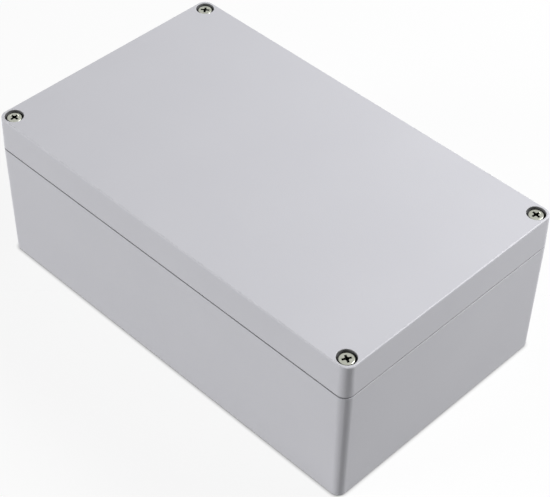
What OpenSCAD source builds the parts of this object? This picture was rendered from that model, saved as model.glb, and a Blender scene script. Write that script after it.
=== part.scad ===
// Screw-lid plastic enclosure: a drafted box moulded in two halves, sealed by a tongue, a groove and a gasket.
// The lid is held by four captive screws in brass inserts. Pockets outside the seal take the mounting screws.
// Origin: middle of the underside. +X runs along the length, +Y to the back, +Z up. Sizes in millimetres.

/* [Box] */
// Outside length at the parting line
box_l = 200; // [170:1:320]
// Outside width at the parting line
box_w = 120; // [100:1:220]
// Overall height with the lid closed
box_h = 75; // [60:1:110]
// Height of the lid above the parting line
lid_h = 16; // [15:0.5:24]
// Radius of the upright corners at the parting line
corner_r = 4.5; // [3:0.1:5.5]
// Draft angle of the moulded walls, in degrees
draft = 0.75; // [0.25:0.05:1]
// Rounding of the edge round the underside
foot_edge_r = 1; // [0.4:0.1:1.6]
// Rounding of the edge round the top of the lid
top_edge_r = 0.7; // [0.3:0.1:1.5]
// Height of the shadow gap under the edge of the lid
gap_h = 0.7; // [0.3:0.1:1.2]
// Depth of the shadow gap
gap_d = 0.6; // [0.2:0.1:0.9]

/* [Walls] */
// Thickness of the floor
floor_t = 3; // [2:0.1:5]
// Thickness of the top of the lid
top_t = 3; // [2:0.1:3.4]
// Thickness of the outer wall beside the corner pockets
pocket_wall = 2.8; // [2.2:0.1:3.4]

/* [Seal] */
// Width of the ledge outside the tongue, where the skirt of the lid rests
rim_w = 1.5; // [1.2:0.1:2.5]
// Thickness of the tongue round the mouth of the base
tongue_t = 1.9; // [1.5:0.1:3]
// Height of the tongue above the parting line
tongue_h = 4; // [2.5:0.1:6]
// Clearance on each side of the tongue in the groove of the lid
tongue_gap = 0.25; // [0.1:0.05:0.4]
// Thickness of the gasket at the top of the groove
gasket_t = 2; // [1.2:0.1:3]
// Clearance on each side of the gasket in the groove
gasket_gap = 0.1; // [0.05:0.05:0.3]
// Thickness of the rib of the lid inside the groove
rib_t = 1.5; // [1.2:0.1:2.5]
// Inside radius of the rib where the seal turns towards the outer walls
rib_r = 1.5; // [0.5:0.1:3]
// Radius of the tongue where the seal turns round a corner pocket
bend_r = 2.6; // [1:0.1:5]

/* [Corner pockets] */
// Width of a pocket, along the length of the box
pocket_w = 9.6; // [9:0.1:13]
// Length of a pocket, along the width of the box
pocket_l = 21.6; // [20:0.1:26]
// Radius of the upright corners of a pocket
pocket_r = 1.8; // [1.2:0.1:3]
// Ledge between a pocket and the tongue
pocket_ledge = 0.7; // [0.4:0.1:1.5]
// Wall of the lid between its groove and its corner pocket
groove_wall = 1.35; // [1:0.05:2]
// Wall of the lid between a screw bore and its corner pocket
bore_wall = 2.2; // [1.5:0.1:4]
// Diameter of the mounting holes through the floor
mount_d = 4.5; // [3.5:0.1:5]
// Distance of a mounting hole from the end of the box
mount_inset = 7.5; // [6:0.1:9]
// Distance of a mounting hole from the inner end of its pocket
mount_step = 6.9; // [5:0.1:9]

/* [Lid screws] */
// Distance of a screw from the two outer sides beside it
screw_inset = 5.3; // [5.1:0.1:6.5]
// Diameter of the screw head
head_d = 6.4; // [5.6:0.1:6.6]
// Height of the screw head
head_h = 2.7; // [2:0.1:3.2]
// Rounding of the top edge of the screw head
head_edge_r = 0.5; // [0.2:0.1:1]
// Depth of the head below the top of the lid
head_sink = 0.8; // [0:0.1:2]
// Clearance round the head in its counterbore
head_gap = 0.85; // [0.3:0.05:1]
// Thickness of the web of the lid under the head
web_t = 2.5; // [1.5:0.1:3.5]
// Clearance round the thread in the hole through the web
web_gap = 0.2; // [0.1:0.05:0.5]
// Outside diameter of the thread
thread_d = 4; // [3.6:0.1:4.2]
// Length of the threaded end
thread_l = 8.8; // [6:0.1:12]
// Chamfer at the tip of the thread
tip_chamfer = 0.5; // [0.2:0.1:1]
// Diameter of the plain shank above the thread
shank_d = 3.15; // [2.6:0.05:3.3]
// Width across the cross recess
recess_w = 3.4; // [2.4:0.1:4]
// Width of one arm of the cross recess
recess_t = 0.9; // [0.6:0.1:1.2]
// Depth of the cross recess
recess_h = 1.6; // [1:0.1:1.8]

/* [Screw retainers] */
// Outside diameter of the retaining washer on the shank
retainer_d = 6.4; // [5.4:0.1:6.8]
// Thickness of the retaining washer
retainer_t = 1; // [0.6:0.1:1.5]
// Clearance between the washer and the shank
retainer_gap = 0.075; // [0.03:0.005:0.1]
// Clearance round the washer in the bore of the lid
retainer_room = 0.4; // [0.3:0.05:0.8]
// Height of the washer above the parting line
retainer_lift = 1; // [0.4:0.1:2]
// Width of the slit that lets the washer spring over the thread
retainer_slit = 0.8; // [0.4:0.1:1.5]

/* [Threaded inserts] */
// Outside diameter of the brass insert
insert_d = 5.6; // [5.2:0.1:6.2]
// Length of the insert
insert_l = 8; // [6:0.1:10]
// Width of the waist between the two gripping bands
insert_waist = 2; // [1:0.1:3]
// Depth of the waist
insert_waist_d = 0.35; // [0.2:0.05:0.5]
// Chamfer at both ends of the insert
insert_chamfer = 0.4; // [0.2:0.1:0.6]
// Clearance between the insert and its hole
insert_gap = 0.03; // [0.01:0.01:0.1]
// Clearance between the thread and the bore of the insert
thread_gap = 0.05; // [0.02:0.01:0.1]
// Wall of the screw pillar round the insert
pillar_wall = 1.6; // [1.2:0.1:2.4]
// Free depth below the tip of the screw
tip_room = 1; // [0.3:0.1:3]

/* [Circuit board bosses] */
// Diameter of a boss
boss_d = 8; // [6:0.1:10]
// Height of a boss above the floor
boss_h = 6; // [3:0.1:15]
// Pilot hole for a board screw
boss_hole_d = 2.8; // [2:0.1:4]
// Distance of a boss from the corner pockets, along the length
boss_inset_l = 10; // [6:0.1:30]
// Distance of a boss from the long wall
boss_inset_w = 11.6; // [6:0.1:20]

/* [Hidden] */
$fn = 64;

shell_colour = [0.81, 0.81, 0.83];
gasket_colour = [0.30, 0.30, 0.32];
steel_colour = [0.70, 0.71, 0.68];
brass_colour = [0.78, 0.62, 0.30];
nylon_colour = [0.93, 0.92, 0.88];

// Overlap that lets a cut run clear of a face
over = 1;
// An edge rounding a little larger than a tangent arc, so that it meets both faces cleanly
round_out = 1.01;

half_l = box_l / 2;
half_w = box_w / 2;
part_z = box_h - lid_h;

// Corner pockets: their inner sides, seen from the middle of the box
pocket_x = half_l - pocket_wall - pocket_w;
pocket_y = half_w - pocket_wall - pocket_l;
mount_x = half_l - mount_inset;
mount_y = pocket_y + mount_step;

// Mouth of the base: a cross of two rectangles, one reaching the ends and one reaching the long sides
mouth_x = half_l - rim_w - tongue_t;
mouth_y = half_w - rim_w - tongue_t;
neck_x = pocket_x - pocket_ledge - tongue_t;
neck_y = pocket_y - pocket_ledge - tongue_t;
mouth_r = rib_r + rib_t + tongue_gap;
mouth_bend_r = bend_r + tongue_t;
groove_z = part_z + tongue_h + gasket_t;

// Lid screws, from the head down
screw_x = half_l - screw_inset;
screw_y = half_w - screw_inset;
head_z = box_h - head_sink - head_h;
web_z = head_z - web_t;
shoulder_z = part_z + retainer_lift;
tip_z = shoulder_z - thread_l;
bore_d = retainer_d + 2 * retainer_room;
insert_z = part_z - insert_l;
insert_hole_d = insert_d + 2 * insert_gap;
relief_d = thread_d + 2 * web_gap;
pillar_d = insert_hole_d + 2 * pillar_wall;

boss_x = neck_x - boss_inset_l;
boss_y = mouth_y - boss_inset_w;

// Repeats a shape in the four corners, each one the mirror image of its neighbour
module in_each_corner() {
    for (left = [0, 1], front = [0, 1])
        mirror([left, 0, 0]) mirror([0, front, 0]) children();
}

// Sets a round piece on one screw axis; left and front are 1 or -1
module on_screw_axis(side_x, side_y) {
    translate([side_x * screw_x, side_y * screw_y, 0]) children();
}

// Block with rounded corners that follows a half section: the section's axis runs round the centres of the corners
module swept_block(arc_x, arc_y, z_low, z_high) {
    translate([-arc_x, -arc_y, z_low]) cube([2 * arc_x, 2 * arc_y, z_high - z_low]);
    for (turn = [0, 180]) rotate(turn) {
        translate([arc_x, arc_y, 0]) rotate([90, 0, 0]) linear_extrude(2 * arc_y) children();
        translate([-arc_x, arc_y, 0]) rotate([90, 0, 90]) linear_extrude(2 * arc_x) children();
        translate([arc_x, arc_y, 0]) rotate_extrude(angle = 90) children();
        translate([-arc_x, arc_y, 0]) rotate(90) rotate_extrude(angle = 90) children();
    }
}

// Cavity with rounded corners, widest at its mouth and narrowing downwards with the draft
module drafted_cavity(half_x, half_y, r, z_low, z_high) {
    swept_block(half_x - r, half_y - r, z_low, z_high)
        polygon([
            [0, z_low],
            [r - (z_high - z_low) * tan(draft), z_low],
            [r, z_high],
            [0, z_high]
        ]);
}

// Tool that rounds a convex edge of a section; up is 1 for an edge on top and -1 for one underneath
module edge_round(edge_x, edge_z, r, up) {
    translate([edge_x - r, edge_z - up * r]) difference() {
        translate([0, up > 0 ? 0 : -r - over]) square([r + over, r + over]);
        circle(r * round_out);
    }
}

// Plan of the seal at a distance outside the face of the mouth
module seal_outline(grow) {
    bend = mouth_bend_r - grow;
    rounded_rectangle(mouth_x + grow, neck_y + grow, mouth_r + grow);
    rounded_rectangle(neck_x + grow, mouth_y + grow, mouth_r + grow);
    in_each_corner() translate([neck_x + grow, neck_y + grow]) difference() {
        translate([-over, -over]) square(bend + over);
        translate([bend, bend]) circle(bend);
    }
}

module rounded_rectangle(half_x, half_y, r) {
    square([2 * half_x, 2 * (half_y - r)], center = true);
    square([2 * (half_x - r), 2 * half_y], center = true);
    for (x = [-1, 1], y = [-1, 1])
        translate([x * (half_x - r), y * (half_y - r)]) circle(r);
}

// Section of the base's outside, with the rounded foot and the shadow gap under the lid
module base_section() {
    foot_r = corner_r - part_z * tan(draft);
    gap_z = part_z - gap_h;
    gap_r = corner_r - gap_h * tan(draft);
    difference() {
        polygon([
            [0, 0],
            [foot_r, 0],
            [gap_r, gap_z],
            [gap_r - gap_d, gap_z],
            [gap_r - gap_d, part_z],
            [0, part_z]
        ]);
        edge_round(foot_r + foot_edge_r * tan(draft), 0, foot_edge_r, -1);
    }
}

// Section of the lid's outside, narrowing upwards to its rounded top edge
module lid_section() {
    top_r = corner_r - lid_h * tan(draft);
    difference() {
        polygon([
            [0, part_z],
            [corner_r, part_z],
            [top_r, box_h],
            [0, box_h]
        ]);
        edge_round(top_r + top_edge_r * tan(draft), box_h, top_edge_r, 1);
    }
}

// Inside of the base: a drafted cross whose inner corners bend round the pockets
module base_cavity() {
    depth = part_z - floor_t;
    drafted_cavity(mouth_x, neck_y, mouth_r, floor_t, part_z);
    drafted_cavity(neck_x, mouth_y, mouth_r, floor_t, part_z);
    in_each_corner() translate([neck_x, neck_y, floor_t]) difference() {
        reach = depth * tan(draft) + over;
        translate([-reach, -reach, 0])
            cube([mouth_bend_r + reach, mouth_bend_r + reach, depth]);
        translate([mouth_bend_r, mouth_bend_r, 0])
            cylinder(r1 = mouth_bend_r + depth * tan(draft), r2 = mouth_bend_r, h = depth);
    }
}

// Corner pocket outside the seal, open at the top, with the screw pillar left standing in it
module base_pocket() {
    difference() {
        translate([pocket_x + pocket_w / 2, pocket_y + pocket_l / 2, 0])
            drafted_cavity(pocket_w / 2, pocket_l / 2, pocket_r, floor_t, part_z);
        translate([screw_x, screw_y, floor_t - over])
            cylinder(d = pillar_d, h = part_z - floor_t + 2 * over);
    }
}

// Hole for a threaded insert, with room for the tip of the screw below it
module insert_hole() {
    relief_z = min(insert_z, tip_z) - tip_room;
    translate([screw_x, screw_y, insert_z]) cylinder(d = insert_hole_d, h = insert_l + over);
    translate([screw_x, screw_y, relief_z]) cylinder(d = relief_d, h = insert_z - relief_z + over);
}

module board_boss() {
    translate([boss_x, boss_y, 0]) difference() {
        translate([0, 0, floor_t - over]) cylinder(d = boss_d, h = boss_h + over);
        translate([0, 0, floor_t]) cylinder(d = boss_hole_d, h = boss_h + over);
    }
}

module base() {
    color(shell_colour) union() {
        difference() {
            union() {
                swept_block(half_l - corner_r, half_w - corner_r, 0, part_z) base_section();
                translate([0, 0, part_z - over]) linear_extrude(tongue_h + over) seal_outline(tongue_t);
            }
            base_cavity();
            translate([0, 0, part_z]) linear_extrude(tongue_h + over) seal_outline(0);
            in_each_corner() {
                base_pocket();
                insert_hole();
                translate([mount_x, mount_y, -over]) cylinder(d = mount_d, h = floor_t + 2 * over);
            }
        }
        in_each_corner() board_boss();
    }
}

// Counterbore for the head, hole through the web and bore for the retaining washer
module lid_screw_bore() {
    translate([screw_x, screw_y, 0]) {
        translate([0, 0, head_z]) cylinder(d = head_d + 2 * head_gap, h = box_h - head_z + over);
        translate([0, 0, web_z - over]) cylinder(d = relief_d, h = web_t + 2 * over);
        translate([0, 0, part_z - over]) cylinder(d = bore_d, h = web_z - part_z + over);
    }
}

// Hollow of the lid above a mounting pocket, beside the screw bore
module lid_pocket() {
    low_x = neck_x + tongue_t + tongue_gap + groove_wall;
    low_y = neck_y + tongue_t + tongue_gap + groove_wall;
    high_x = half_l - pocket_wall;
    high_y = screw_y - bore_d / 2 - bore_wall;
    translate([(low_x + high_x) / 2, (low_y + high_y) / 2, part_z - over])
        linear_extrude(lid_h - top_t + over)
            rounded_rectangle((high_x - low_x) / 2, (high_y - low_y) / 2, pocket_r);
}

module lid() {
    color(shell_colour) difference() {
        swept_block(half_l - corner_r, half_w - corner_r, part_z, box_h) lid_section();
        translate([0, 0, part_z - over])
            linear_extrude(lid_h - top_t + over) seal_outline(-tongue_gap - rib_t);
        translate([0, 0, part_z - over]) linear_extrude(groove_z - part_z + over) difference() {
            seal_outline(tongue_t + tongue_gap);
            seal_outline(-tongue_gap);
        }
        in_each_corner() {
            lid_pocket();
            lid_screw_bore();
        }
    }
}

// Rubber strip that fills the top of the groove and rests on the tongue
module gasket() {
    slack = tongue_gap - gasket_gap;
    color(gasket_colour) translate([0, 0, groove_z - gasket_t]) linear_extrude(gasket_t) difference() {
        seal_outline(tongue_t + slack);
        seal_outline(-slack);
    }
}

// Turned brass insert: two gripping bands, a waist between them and chamfered ends
module insert(side_x, side_y) {
    outer_r = insert_d / 2;
    waist_r = outer_r - insert_waist_d;
    bore_r = thread_d / 2 + thread_gap;
    waist_low = (insert_l - insert_waist) / 2;
    waist_high = (insert_l + insert_waist) / 2;
    color(brass_colour) on_screw_axis(side_x, side_y) translate([0, 0, insert_z]) rotate_extrude()
        polygon([
            [bore_r, 0],
            [outer_r - insert_chamfer, 0],
            [outer_r, insert_chamfer],
            [outer_r, waist_low],
            [waist_r, waist_low],
            [waist_r, waist_high],
            [outer_r, waist_high],
            [outer_r, insert_l - insert_chamfer],
            [outer_r - insert_chamfer, insert_l],
            [bore_r, insert_l]
        ]);
}

// Split nylon washer that rests on the shoulder of the thread and keeps the screw in the lid
module retainer(side_x, side_y) {
    color(nylon_colour) on_screw_axis(side_x, side_y) translate([0, 0, shoulder_z]) difference() {
        cylinder(d = retainer_d, h = retainer_t);
        translate([0, 0, -over]) cylinder(d = shank_d + 2 * retainer_gap, h = retainer_t + 2 * over);
        translate([0, -retainer_slit / 2, -over]) cube([retainer_d, retainer_slit, retainer_t + 2 * over]);
    }
}

// Captive lid screw: rounded cheese head with a cross recess, plain shank and threaded end
module screw(side_x, side_y) {
    head_r = head_d / 2;
    thread_r = thread_d / 2;
    head_top = head_z + head_h;
    color(steel_colour) on_screw_axis(side_x, side_y) difference() {
        rotate_extrude() difference() {
            polygon([
                [0, tip_z],
                [thread_r - tip_chamfer, tip_z],
                [thread_r, tip_z + tip_chamfer],
                [thread_r, shoulder_z],
                [shank_d / 2, shoulder_z],
                [shank_d / 2, head_z],
                [head_r, head_z],
                [head_r, head_top],
                [0, head_top]
            ]);
            edge_round(head_r, head_top, head_edge_r, 1);
        }
        translate([0, 0, head_top - recess_h / 2 + over / 2]) {
            cube([recess_w, recess_t, recess_h + over], center = true);
            cube([recess_t, recess_w, recess_h + over], center = true);
        }
    }
}

base();
lid();
gasket();
insert(-1, -1);  // insert_front_left
insert(1, -1);  // insert_front_right
insert(-1, 1);  // insert_back_left
insert(1, 1);  // insert_back_right
retainer(-1, -1);  // retainer_front_left
retainer(1, -1);  // retainer_front_right
retainer(-1, 1);  // retainer_back_left
retainer(1, 1);  // retainer_back_right
screw(-1, -1);  // screw_front_left
screw(1, -1);  // screw_front_right
screw(-1, 1);  // screw_back_left
screw(1, 1);  // screw_back_right
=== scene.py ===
"""Screw-lid plastic enclosure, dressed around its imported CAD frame. Lengths are in metres."""

from math import cos, pi, radians, sin

import bmesh
import bpy
from mathutils import Matrix, Vector


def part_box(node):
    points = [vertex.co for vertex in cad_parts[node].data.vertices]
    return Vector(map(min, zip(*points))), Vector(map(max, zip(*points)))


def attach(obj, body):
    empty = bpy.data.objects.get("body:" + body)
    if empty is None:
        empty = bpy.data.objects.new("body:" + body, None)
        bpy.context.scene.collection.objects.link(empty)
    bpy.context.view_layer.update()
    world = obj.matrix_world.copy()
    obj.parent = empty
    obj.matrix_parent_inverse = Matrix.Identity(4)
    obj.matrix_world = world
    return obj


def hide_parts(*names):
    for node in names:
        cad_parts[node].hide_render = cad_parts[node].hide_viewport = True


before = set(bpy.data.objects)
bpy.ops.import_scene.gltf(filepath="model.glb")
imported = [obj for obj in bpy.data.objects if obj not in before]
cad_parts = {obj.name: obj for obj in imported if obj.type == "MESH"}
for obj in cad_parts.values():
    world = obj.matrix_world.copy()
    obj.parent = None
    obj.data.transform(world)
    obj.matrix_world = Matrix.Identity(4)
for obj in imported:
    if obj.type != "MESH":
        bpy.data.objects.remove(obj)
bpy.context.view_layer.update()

# Base
# The deep half of the box: one injection moulding in light grey ABS, with its screw pillars, mounting
# pockets and board bosses. The walls lean a little so that it leaves the mould, and no outer edge of it
# is truly sharp.
MM = 0.001
moulded_edge_r = 0.2 * MM
same_place = 0.001 * MM
flat_angle = radians(0.6)
bevel_angle = radians(32)
crease_angle = radians(50)
large_faces_first = 100


def softened_copy(node, name, edge_r, segments=2):
    """New piece in the shape of a CAD node, with its sharp outer edges rounded."""
    bm = bmesh.new()
    bm.from_mesh(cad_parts[node].data)
    bmesh.ops.remove_doubles(bm, verts=bm.verts, dist=same_place)
    bmesh.ops.dissolve_limit(bm, angle_limit=flat_angle, verts=bm.verts, edges=bm.edges)
    sharp = [e for e in bm.edges if e.is_convex and e.calc_face_angle() > bevel_angle]
    bmesh.ops.bevel(
        bm, geom=sharp, offset=edge_r, offset_type="OFFSET", segments=segments,
        profile=0.5, affect="EDGES", material=-1, clamp_overlap=False,
    )
    return finished_piece(bm, name)


def finished_piece(bm, name):
    """Object made of a bmesh, smooth over its curves, flat over its flats and crisp at its creases."""
    for face in bm.faces:
        face.smooth = True
    for edge in bm.edges:
        edge.smooth = edge.calc_face_angle() < crease_angle
    mesh = bpy.data.meshes.new(name)
    bm.to_mesh(mesh)
    bm.free()
    piece = bpy.data.objects.new(name, mesh)
    bpy.context.scene.collection.objects.link(piece)
    weighted = piece.modifiers.new("flat_faces", "WEIGHTED_NORMAL")
    weighted.weight = large_faces_first
    weighted.keep_sharp = True
    return piece


def feed(tree, socket, value):
    """Links a socket to another one's result, or sets it to a constant."""
    if isinstance(value, bpy.types.NodeSocket):
        tree.links.new(value, socket)
    else:
        socket.default_value = value


def add_node(tree, kind, settings=None, **inputs):
    """Node with its settings made and its named sockets fed."""
    node = tree.nodes.new(kind)
    for setting, value in (settings or {}).items():
        setattr(node, setting, value)
    for socket, value in inputs.items():
        feed(tree, node.inputs[socket], value)
    return node


def number(tree, operation, *inputs):
    """Result of a sum on numbers."""
    node = add_node(tree, "ShaderNodeMath", {"operation": operation})
    for socket, value in zip(node.inputs, inputs):
        feed(tree, socket, value)
    return node.outputs["Value"]


def vector(tree, operation, *inputs):
    """Result of a sum on vectors."""
    node = add_node(tree, "ShaderNodeVectorMath", {"operation": operation})
    for socket, value in zip(node.inputs, inputs):
        feed(tree, socket, value)
    return node.outputs["Value" if operation == "LENGTH" else "Vector"]


def step(tree, value, low, high):
    """Smooth rise from 0 to 1 as a value goes from low to high."""
    ends = {"Value": value, "From Min": low, "From Max": high}
    node = add_node(tree, "ShaderNodeMapRange", {"interpolation_type": "SMOOTHSTEP"}, **ends)
    return node.outputs["Result"]


def band(tree, value, low, high, soft):
    """1 between two values, fading to 0 past both of them."""
    return number(tree, "MULTIPLY", step(tree, value, low - soft, low), step(tree, value, high + soft, high))


def spread(tree, value, low, high):
    """A value from 0 to 1 spread over another range."""
    ends = {"Value": value, "To Min": low, "To Max": high}
    return add_node(tree, "ShaderNodeMapRange", **ends).outputs["Result"]


def blend(tree, share, first, second):
    """Colour between two colours."""
    node = add_node(tree, "ShaderNodeMix", {"data_type": "RGBA"}, Factor=share, A=first, B=second)
    return node.outputs["Result"]


def past_lines(tree, place, x, y):
    """Flat vector from the nearest of four upright lines, mirrored about the middle of the box."""
    centred = vector(tree, "SUBTRACT", vector(tree, "ABSOLUTE", place), (x, y, 0))
    return vector(tree, "MULTIPLY", centred, (1, 1, 0))


def new_effect(name, inputs, outputs):
    """Shader node group with number sockets; gives the tree and its two ends."""
    tree = bpy.data.node_groups.new(name, "ShaderNodeTree")
    for socket in inputs:
        tree.interface.new_socket(socket, in_out="INPUT", socket_type="NodeSocketFloat")
    for socket in outputs:
        tree.interface.new_socket(socket, in_out="OUTPUT", socket_type="NodeSocketFloat")
    return tree, tree.nodes.new("NodeGroupInput").outputs, tree.nodes.new("NodeGroupOutput").inputs


def place_effect(tree, effect, **inputs):
    """A node group in a material, with its own values; gives its results."""
    return add_node(tree, "ShaderNodeGroup", {"node_tree": effect}, **inputs).outputs


def new_finish(name):
    """Material with its node tree and its shader's sockets."""
    material = bpy.data.materials.new(name)
    material.use_nodes = True
    return material, material.node_tree, material.node_tree.nodes["Principled BSDF"].inputs


def raise_surface(tree, shader, height, strength, depth):
    """Fine relief in the finish."""
    bump = add_node(tree, "ShaderNodeBump", Height=height, Strength=strength, Distance=depth)
    feed(tree, shader["Normal"], bump.outputs["Normal"])


# Grain of the mould, with slow changes of tone where the melt flowed
moulded_grain, given, result = new_effect("moulded_grain", ["Grain", "Flow"], ["Height", "Tone", "Gloss"])
place = add_node(moulded_grain, "ShaderNodeTexCoord").outputs["Object"]
for source, target, detail in (("Grain", "Height", 4), ("Flow", "Tone", 2), ("Grain", "Gloss", 1)):
    noise = add_node(moulded_grain, "ShaderNodeTexNoise", Vector=place, Scale=given[source], Detail=detail)
    feed(moulded_grain, result[target], noise.outputs["Fac"])

shell_light = (0.640, 0.640, 0.678, 1)
shell_dark = (0.600, 0.600, 0.640, 1)
shell_smooth = 0.40
shell_rough = 0.54
shell_grain = 2600
shell_flow = 22
shell_relief = 0.6
shell_relief_depth = 0.06 * MM
shell_plastic, tree, shader = new_finish("shell_plastic")
place = add_node(tree, "ShaderNodeTexCoord").outputs["Object"]
height = add_node(tree, "ShaderNodeSeparateXYZ", Vector=place).outputs["Z"]
grain = place_effect(tree, moulded_grain, Grain=shell_grain, Flow=shell_flow)
plastic = blend(tree, grain["Tone"], shell_dark, shell_light)
feed(tree, shader["Roughness"], spread(tree, grain["Gloss"], shell_smooth, shell_rough))

# Painted shade: the seam between the halves and the counterbores round the screw heads are darkened in the
# colour, where shade falls in them
lid_low, lid_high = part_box("lid")
corner_r = 4.5 * MM
screw_inset = 5.3 * MM
screw_x = lid_high.x - screw_inset
screw_y = lid_high.y - screw_inset
counterbore_r = 4.05 * MM
counterbore_depth = 6 * MM
counterbore_unshaded_rim = 0.5 * MM
rim_fade = 0.4 * MM
seam_height = 0.7 * MM
seam_depth = 1 * MM
soft_edge = 0.1 * MM
# Near-black colour of the painted shade in the seam and the counterbores
painted_shade = (0.050, 0.050, 0.046, 1)
painted_shade_in_seam = 0.4
painted_shade_in_counterbore = 0.8
past_corner = past_lines(tree, place, lid_high.x - corner_r, lid_high.y - corner_r)
from_corner = vector(tree, "LENGTH", vector(tree, "MAXIMUM", past_corner, (0, 0, 0)))
inset = number(tree, "SUBTRACT", corner_r, from_corner)
in_seam = number(
    tree, "MULTIPLY", step(tree, inset, seam_depth + 2 * soft_edge, seam_depth),
    band(tree, height, lid_low.z - seam_height, lid_low.z + soft_edge, soft_edge),
)
from_screw = vector(tree, "LENGTH", past_lines(tree, place, screw_x, screw_y))
in_counterbore = number(
    tree, "MULTIPLY", step(tree, from_screw, counterbore_r + soft_edge, counterbore_r + soft_edge / 2),
    band(tree, height, lid_high.z - counterbore_depth, lid_high.z - counterbore_unshaded_rim, rim_fade),
)
painted_shade_share = number(
    tree, "MAXIMUM", number(tree, "MULTIPLY", in_seam, painted_shade_in_seam),
    number(tree, "MULTIPLY", in_counterbore, painted_shade_in_counterbore),
)
# The plastic darkens in the seam and the counterbores: painted shade
feed(tree, shader["Base Color"], blend(tree, painted_shade_share, plastic, painted_shade))

# The ejector pins of the mould leave shallow discs inside
ejector_x = 42 * MM
ejector_y = 24 * MM
ejector_r = 3.5 * MM
ejector_sink = 2
outer_skin = 1.5 * MM
from_pin = vector(tree, "LENGTH", past_lines(tree, place, ejector_x, ejector_y))
pin_mark = number(
    tree, "MULTIPLY", step(tree, from_pin, ejector_r + soft_edge / 2, ejector_r - soft_edge / 2),
    band(tree, height, outer_skin, lid_high.z - outer_skin, 2 * soft_edge),
)
relief = number(tree, "MULTIPLY_ADD", pin_mark, -ejector_sink, grain["Height"])
raise_surface(tree, shader, relief, shell_relief, shell_relief_depth)


def dress(piece, node, body, material):
    """The piece stands for a CAD node, moves with its body and takes a finish."""
    piece.data.materials.append(material)
    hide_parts(node)
    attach(piece, body)


base = softened_copy("base", "base_moulding", moulded_edge_r)
dress(base, "base", "base", shell_plastic)

# Threaded inserts
# Turned brass bushes, melted into the screw pillars of the base. Two bands of slanted teeth, cut opposite
# ways, grip the plastic on either side of a plain waist, and the bore carries the thread.
corners = {"front_left": (-1, -1), "front_right": (1, -1), "back_left": (-1, 1), "back_right": (1, 1)}
insert_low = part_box("insert_front_left")[0].z
insert_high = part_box("insert_front_left")[1].z
insert_r = 2.8 * MM
insert_end_r = 2.4 * MM
insert_waist_r = 2.45 * MM
insert_band = 3 * MM
insert_chamfer = 0.4 * MM
waist_step = 0.25 * MM
insert_bore_r = 2.05 * MM
insert_groove_r = 2.3 * MM
thread_pitch = 0.7 * MM
thread_root_share = 0.24
thread_crest_share = 0.14
knurl_teeth = 26
knurl_depth = 0.16 * MM
knurl_slant = radians(24)
brass_light = (0.80, 0.60, 0.28, 1)
brass_dark = (0.66, 0.46, 0.18, 1)
brass_roughness = 0.28
brass_marks = 5000
metal_flow = 900
gloss_wander = 0.08
mark_relief = 0.5
mark_depth = 0.01 * MM


def close_flat(bm, height):
    """Fills what is open at one height: a disc, or the ring between an outer and an inner edge."""
    rims = [e for e in bm.edges if e.is_boundary and all(abs(v.co.z - height) < same_place for v in e.verts)]
    bmesh.ops.triangle_fill(bm, edges=rims, use_beauty=True, normal=(0, 0, 1))


def wind_thread(bm, inner_r, outer_r, low, high, steps=36):
    """Helical wall of a right-hand thread, wound past two heights and cut off there, open at both ends."""
    turns = int((high - low) / thread_pitch) + 3
    start = (int(low / thread_pitch) - 1) * thread_pitch
    root_end = thread_root_share / 2
    crest_start = (1 - thread_crest_share) / 2
    rise = [(inner_r, 0), (inner_r, root_end), (outer_r, crest_start)]
    fall = [(r, 1 - share) for r, share in reversed(rise)]
    points = [bm.verts.new((r, 0, start + share * thread_pitch)) for r, share in rise + fall]
    profile = points + [bm.edges.new(pair) for pair in zip(points, points[1:])]
    bmesh.ops.spin(
        bm, geom=profile, cent=(0, 0, 0), axis=(0, 0, 1), angle=2 * pi * turns, steps=steps * turns,
        dvec=(0, 0, thread_pitch / steps),
    )
    bmesh.ops.remove_doubles(bm, verts=bm.verts, dist=2 * same_place)
    for height, side in ((low, {"clear_inner": True}), (high, {"clear_outer": True})):
        wall = bm.verts[:] + bm.edges[:] + bm.faces[:]
        cut = {"plane_co": (0, 0, height), "plane_no": (0, 0, 1)}
        bmesh.ops.bisect_plane(bm, geom=wall, dist=0.1 * same_place, **cut, **side)


def points_of(made):
    """Points among what an operator made."""
    return [v for v in made["geom"] if isinstance(v, bmesh.types.BMVert)]


def draw_ring(bm, ring, height, radius=None, twist=0):
    """Extrudes a ring of points to a new height and radius, with a twist, and gives the new ring."""
    edges = {e for v in ring for e in v.link_edges if e.other_vert(v) in ring}
    ring = points_of(bmesh.ops.extrude_edge_only(bm, edges=list(edges)))
    for v in ring:
        v.co.z = height
        if radius:
            v.co.xy = v.co.xy.normalized() * radius
    bmesh.ops.rotate(bm, cent=(0, 0, 0), matrix=Matrix.Rotation(twist, 3, "Z"), verts=ring)
    return ring


def draw_knurled_band(bm, ring, low, high, slant):
    """Draws a ring out to a band of slanted teeth between two heights."""
    ring = draw_ring(bm, ring, low, insert_r)
    around = sorted(ring, key=lambda v: v.co.xy.angle_signed(Vector((1, 0))))
    for v in around[::2]:
        v.co.xy = v.co.xy.normalized() * (insert_r - knurl_depth)
    return draw_ring(bm, ring, high, twist=slant)


def set_on_axis(bm, corner):
    """Turns a piece's faces outwards and moves it to the screw axis in one corner."""
    bmesh.ops.recalc_face_normals(bm, faces=bm.faces)
    side_x, side_y = corners[corner]
    bmesh.ops.translate(bm, vec=(side_x * screw_x, side_y * screw_y, 0), verts=bm.verts)


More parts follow.
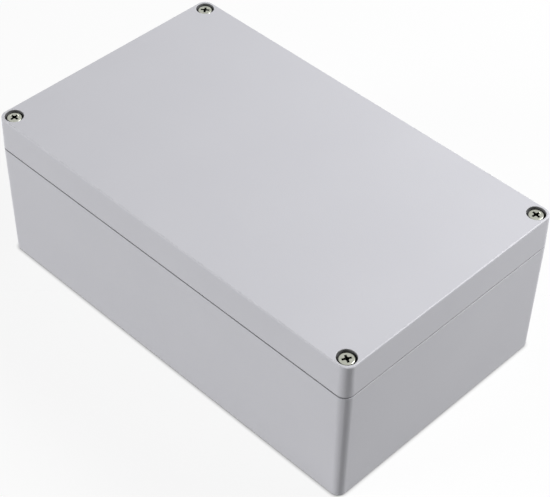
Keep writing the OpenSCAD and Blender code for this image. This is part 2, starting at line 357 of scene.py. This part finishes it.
# Marks of the cutting tool round each screw axis; the axes mirror each other, so one pattern serves all
turned_marks, given, result = new_effect("turned_marks", ["Marks", "Flow"], ["Height", "Tone"])
place = add_node(turned_marks, "ShaderNodeTexCoord").outputs["Object"]
from_axis = vector(turned_marks, "LENGTH", past_lines(turned_marks, place, screw_x, screw_y))
rings = add_node(
    turned_marks, "ShaderNodeTexNoise", {"noise_dimensions": "1D"},
    W=from_axis, Scale=given["Marks"], Detail=3,
)
feed(turned_marks, result["Height"], rings.outputs["Fac"])
blotch = add_node(turned_marks, "ShaderNodeTexNoise", Vector=place, Scale=given["Flow"], Detail=3)
feed(turned_marks, result["Tone"], blotch.outputs["Fac"])


def turned_metal(name, dark, light, roughness, marks):
    """Metal with tool marks in its surface, and a tone and gloss that wander a little."""
    material, tree, shader = new_finish(name)
    marked = place_effect(tree, turned_marks, Marks=marks, Flow=metal_flow)
    metal = blend(tree, marked["Tone"], dark, light)
    feed(tree, shader["Metallic"], 1)
    feed(tree, shader["Base Color"], metal)
    dull = roughness + gloss_wander
    bright = roughness - gloss_wander
    feed(tree, shader["Roughness"], spread(tree, marked["Tone"], dull, bright))
    raise_surface(tree, shader, marked["Height"], mark_relief, mark_depth)
    return material, tree, shader, metal


brass = turned_metal("brass", brass_dark, brass_light, brass_roughness, brass_marks)[0]

for corner in corners:
    bm = bmesh.new()
    wind_thread(bm, insert_bore_r, insert_groove_r, insert_low, insert_high)
    ring = bmesh.ops.create_circle(bm, segments=2 * knurl_teeth, radius=insert_end_r)["verts"]
    bmesh.ops.translate(bm, vec=(0, 0, insert_low), verts=ring)
    ring = draw_knurled_band(bm, ring, insert_low + insert_chamfer, insert_low + insert_band, knurl_slant)
    ring = draw_ring(bm, ring, insert_low + insert_band + waist_step, insert_waist_r)
    ring = draw_ring(bm, ring, insert_high - insert_band - waist_step, insert_waist_r)
    ring = draw_knurled_band(bm, ring, insert_high - insert_band, insert_high - insert_chamfer, -knurl_slant)
    draw_ring(bm, ring, insert_high, insert_end_r)
    close_flat(bm, insert_low)
    close_flat(bm, insert_high)
    set_on_axis(bm, corner)
    insert = finished_piece(bm, f"brass_insert_{corner}")
    dress(insert, f"insert_{corner}", "base", brass)

# Lid
# The shallow half, moulded in the same plastic. Its skirt rests on the ledge of the base, a groove inside
# the skirt takes the tongue, and the four corners are counterbored for the screws.
lid = softened_copy("lid", "lid_moulding", moulded_edge_r)
dress(lid, "lid", "lid", shell_plastic)

# Gasket
# One loop of soft rubber strip, laid at the bottom of the groove in the lid. The tongue of the base
# presses into it when the screws are tightened.
gasket_edge_r = 0.5 * MM
rubber_light = (0.085, 0.085, 0.090, 1)
rubber_dark = (0.050, 0.050, 0.053, 1)
rubber_smooth = 0.7
rubber_rough = 0.9
rubber_grain = 1500
rubber_flow = 60
rubber_relief = 0.6
rubber_relief_depth = 0.08 * MM
gasket_rubber, tree, shader = new_finish("gasket_rubber")
grain = place_effect(tree, moulded_grain, Grain=rubber_grain, Flow=rubber_flow)
feed(tree, shader["Base Color"], blend(tree, grain["Tone"], rubber_dark, rubber_light))
feed(tree, shader["Roughness"], spread(tree, grain["Gloss"], rubber_smooth, rubber_rough))
raise_surface(tree, shader, grain["Height"], rubber_relief, rubber_relief_depth)
gasket = softened_copy("gasket", "gasket_strip", gasket_edge_r, segments=3)
dress(gasket, "gasket", "lid", gasket_rubber)

# Lid screws
# Turned steel screws with a pale plating, a rounded cheese head and a cross recess. The shank above the
# thread is necked, so that a washer can keep the screw in the lid when it is undone. Each one was
# tightened to a turn of its own.
screw_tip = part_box("screw_front_left")[0].z
head_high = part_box("screw_front_left")[1].z
head_height = 2.7 * MM
head_low = head_high - head_height
thread_length = 8.8 * MM
screw_shoulder = screw_tip + thread_length
head_r = 3.2 * MM
head_edge_r = 0.5 * MM
head_edge_steps = 5
shank_r = 1.575 * MM
thread_r = 2 * MM
thread_root_r = 1.6 * MM
tip_r = 1.5 * MM
recess_reach = 2 * MM
recess_half_t = 0.5 * MM
recess_flare = 0.32 * MM
recess_depth = 1.5 * MM
recess_taper = 0.5
recess_unshaded_rim = 0.25 * MM
recess_fade = 0.2 * MM
turn_degrees = {"front_left": 4, "front_right": 62, "back_left": 37, "back_right": 80}
plating_light = (0.52, 0.53, 0.47, 1)
plating_dark = (0.36, 0.37, 0.31, 1)
steel_roughness = 0.30
steel_marks = 7000
# Near-black colour of the painted shade inside the cross recess
painted_recess_shade = (0.012, 0.012, 0.010, 1)


def lathe(bm, outline, steps=64):
    """Wall turned about the axis through points of radius and height."""
    points = [bm.verts.new((r, 0, z)) for r, z in outline]
    profile = points + [bm.edges.new(pair) for pair in zip(points, points[1:])]
    bmesh.ops.spin(
        bm, geom=profile, cent=(0, 0, 0), axis=(0, 0, 1), angle=2 * pi, steps=steps, use_merge=True,
    )


def point_the_tip(bm):
    """Cuts the thread back to a cone at its lower end."""
    for v in bm.verts:
        widest = tip_r + v.co.z - screw_tip
        if v.co.xy.length > widest:
            v.co.xy = v.co.xy.normalized() * widest


def turn_head(bm):
    """Shank and head, from the shoulder of the thread to the rim of the head's flat top."""
    arc = [pi / 2 * k / head_edge_steps for k in range(head_edge_steps + 1)]
    rounding = [(head_r - head_edge_r * (1 - cos(a)), head_high - head_edge_r * (1 - sin(a))) for a in arc]
    lathe(bm, [(shank_r, screw_shoulder), (shank_r, head_low), (head_r, head_low), *rounding])


def faces_at(bm, height):
    """Faces of a mesh that lie flat at one height."""
    return [f for f in bm.faces if all(abs(v.co.z - height) < same_place for v in f.verts)]


def sink_cross_recess(bm):
    """Tapered cross recess in the top of the head, its mouth left open to the rim."""
    at_top = Matrix.Translation((0, 0, head_high))
    middle = recess_half_t + recess_flare
    square = bmesh.ops.create_grid(bm, x_segments=1, y_segments=1, size=middle, matrix=at_top)["verts"]
    bmesh.ops.bevel(
        bm, geom=square, offset=recess_flare, offset_type="OFFSET", segments=1,
        profile=0.5, affect="VERTICES", material=-1,
    )
    for edge in faces_at(bm, head_high)[0].edges[:]:
        centre = (edge.verts[0].co.xy + edge.verts[1].co.xy) / 2
        if min(abs(centre.x), abs(centre.y)) < same_place:
            arm_end = points_of(bmesh.ops.extrude_edge_only(bm, edges=[edge]))
            reach = centre.normalized() * (recess_reach - middle)
            bmesh.ops.translate(bm, vec=reach.to_3d(), verts=arm_end)
    mouth = faces_at(bm, head_high)
    bottom = points_of(bmesh.ops.extrude_face_region(bm, geom=mouth))
    bmesh.ops.scale(bm, vec=(recess_taper, recess_taper, 1), verts=bottom)
    bmesh.ops.translate(bm, vec=(0, 0, -recess_depth), verts=bottom)
    bmesh.ops.delete(bm, geom=mouth, context="FACES")


steel, tree, shader, metal = turned_metal("steel", plating_dark, plating_light, steel_roughness, steel_marks)
place = add_node(tree, "ShaderNodeTexCoord").outputs["Object"]
height = add_node(tree, "ShaderNodeSeparateXYZ", Vector=place).outputs["Z"]
from_axis = vector(tree, "LENGTH", past_lines(tree, place, screw_x, screw_y))
# Painted shade: the cross recess is darkened almost to black in the colour, below a thin rim
in_recess = number(
    tree, "MULTIPLY", step(tree, from_axis, recess_reach + 3 * soft_edge, recess_reach + soft_edge),
    band(tree, height, head_high - recess_depth, head_high - recess_unshaded_rim, recess_fade),
)
feed(tree, shader["Base Color"], blend(tree, in_recess, metal, painted_recess_shade))

for corner in corners:
    bm = bmesh.new()
    wind_thread(bm, thread_root_r, thread_r, screw_tip, screw_shoulder)
    point_the_tip(bm)
    close_flat(bm, screw_tip)
    turn_head(bm)
    close_flat(bm, screw_shoulder)
    sink_cross_recess(bm)
    close_flat(bm, head_high)
    turn = Matrix.Rotation(radians(turn_degrees[corner]), 3, "Z")
    bmesh.ops.rotate(bm, cent=(0, 0, 0), matrix=turn, verts=bm.verts)
    set_on_axis(bm, corner)
    screw = finished_piece(bm, f"lid_screw_{corner}")
    dress(screw, f"screw_{corner}", f"screw_{corner}", steel)

# Retaining washers
# Split rings cut from natural nylon. They snap over the thread onto the necked shank, inside the bore of
# the lid, and come to rest just under its web when the screw is drawn out.
washer_edge_r = 0.15 * MM
washer_room = 0.03 * MM
nylon_light = (0.84, 0.82, 0.76, 1)
nylon_dark = (0.74, 0.72, 0.65, 1)
nylon_roughness = 0.42
nylon_grain = 1800
nylon_flow = 300
nylon_relief = 0.3
nylon_relief_depth = 0.03 * MM
nylon, tree, shader = new_finish("nylon")
grain = place_effect(tree, moulded_grain, Grain=nylon_grain, Flow=nylon_flow)
feed(tree, shader["Base Color"], blend(tree, grain["Tone"], nylon_dark, nylon_light))
feed(tree, shader["Roughness"], nylon_roughness)
raise_surface(tree, shader, grain["Height"], nylon_relief, nylon_relief_depth)
for corner in corners:
    washer = softened_copy(f"retainer_{corner}", f"nylon_washer_{corner}", washer_edge_r)
    low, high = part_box(f"retainer_{corner}")
    for v in washer.data.vertices:
        if v.co.z > (low.z + high.z) / 2:
            v.co.z -= washer_room
    dress(washer, f"retainer_{corner}", f"retainer_{corner}", nylon)

# Floor, light and camera
# A plain pale floor under two soft boxes, a high one at the back right of the enclosure and a low one
# at its front left, with a little light from all round.
floor_half = 12
floor_bounce = (0.30, 0.30, 0.30, 1)
floor_colour = (0.9, 0.9, 0.9, 1)
white = (1, 1, 1, 1)
white_share = 0.88
contact_shade_reach = 1.5 * MM
room_light = 0.15
bm = bmesh.new()
bmesh.ops.create_grid(bm, x_segments=1, y_segments=1, size=floor_half)
floor_mesh = bpy.data.meshes.new("floor")
bm.to_mesh(floor_mesh)
bm.free()
floor = bpy.data.objects.new("floor", floor_mesh)
bpy.context.scene.collection.objects.link(floor)


def seen_directly(tree):
    """1 for the rays that see the surroundings as they are: straight, mirrored or through glass."""
    rays = add_node(tree, "ShaderNodeLightPath").outputs
    mirrored = number(tree, "MAXIMUM", rays["Is Glossy Ray"], rays["Is Transmission Ray"])
    return number(tree, "MAXIMUM", rays["Is Camera Ray"], mirrored)


def choose_shader(tree, share, first, second):
    """Mix of two shaders."""
    node = add_node(tree, "ShaderNodeMixShader", Fac=share)
    tree.links.new(first, node.inputs[1])
    tree.links.new(second, node.inputs[2])
    return node.outputs["Shader"]


floor_finish = bpy.data.materials.new("pale_floor")
floor_finish.use_nodes = True
tree = floor_finish.node_tree
tree.nodes.clear()
dull = add_node(tree, "ShaderNodeBsdfDiffuse", Color=floor_bounce).outputs["BSDF"]
# Painted shadow: ambient occlusion dims the floor's glow and colour close to the enclosure
contact_shade = add_node(tree, "ShaderNodeAmbientOcclusion", Color=floor_colour, Distance=contact_shade_reach).outputs
pale = add_node(tree, "ShaderNodeBsdfDiffuse", Color=contact_shade["Color"]).outputs["BSDF"]
glow = add_node(tree, "ShaderNodeEmission", Color=white, Strength=1).outputs["Emission"]
shown = choose_shader(tree, number(tree, "MULTIPLY", contact_shade["AO"], white_share), pale, glow)
add_node(tree, "ShaderNodeOutputMaterial", Surface=choose_shader(tree, seen_directly(tree), dull, shown))
floor_mesh.materials.append(floor_finish)

world = bpy.data.worlds.new("studio")
bpy.context.scene.world = world
world.use_nodes = True
tree = world.node_tree
tree.nodes.clear()
room = add_node(tree, "ShaderNodeBackground", Color=white, Strength=room_light).outputs["Background"]
backdrop = add_node(tree, "ShaderNodeBackground", Color=white, Strength=1).outputs["Background"]
add_node(tree, "ShaderNodeOutputWorld", Surface=choose_shader(tree, seen_directly(tree), room, backdrop))

lit_middle = Vector((0, 0, 0.04))
lamp_share = 0.45


def soft_box(name, heading, height, distance, power):
    """Square area lamp, placed by its angle round the box, its angle above the floor and its distance."""
    lamp = bpy.data.lights.new(name, "AREA")
    lamp.shape = "SQUARE"
    lamp.size = distance * lamp_share
    lamp.energy = power
    holder = bpy.data.objects.new(name, lamp)
    turned = Matrix.Rotation(radians(heading), 3, "Z") @ Matrix.Rotation(radians(-height), 3, "Y")
    holder.location = lit_middle + turned @ Vector((distance, 0, 0))
    holder.rotation_euler = (lit_middle - holder.location).to_track_quat("-Z", "Y").to_euler()
    bpy.context.scene.collection.objects.link(holder)


soft_box("high_back_box", heading=52, height=42, distance=1, power=9.8)
soft_box("low_front_box", heading=240, height=14, distance=4.4, power=135)

camera_place = (0.35327, -0.36263, 0.51532)
camera_heading = radians(43.835)
camera_height = radians(43.969)
camera_roll = radians(1.368)
focal_pixels = 1654.31
picture_width = 550
film_width = 36
lens = bpy.data.cameras.new("camera")
lens.sensor_width = film_width
lens.lens = film_width * focal_pixels / picture_width
camera = bpy.data.objects.new("camera", lens)
camera.location = camera_place
turned = Matrix.Rotation(camera_heading, 3, "Z") @ Matrix.Rotation(pi / 2 - camera_height, 3, "X")
camera.rotation_euler = (turned @ Matrix.Rotation(camera_roll, 3, "Z")).to_euler()
bpy.context.scene.collection.objects.link(camera)
bpy.context.scene.camera = camera
bpy.context.scene.view_settings.view_transform = "Standard"
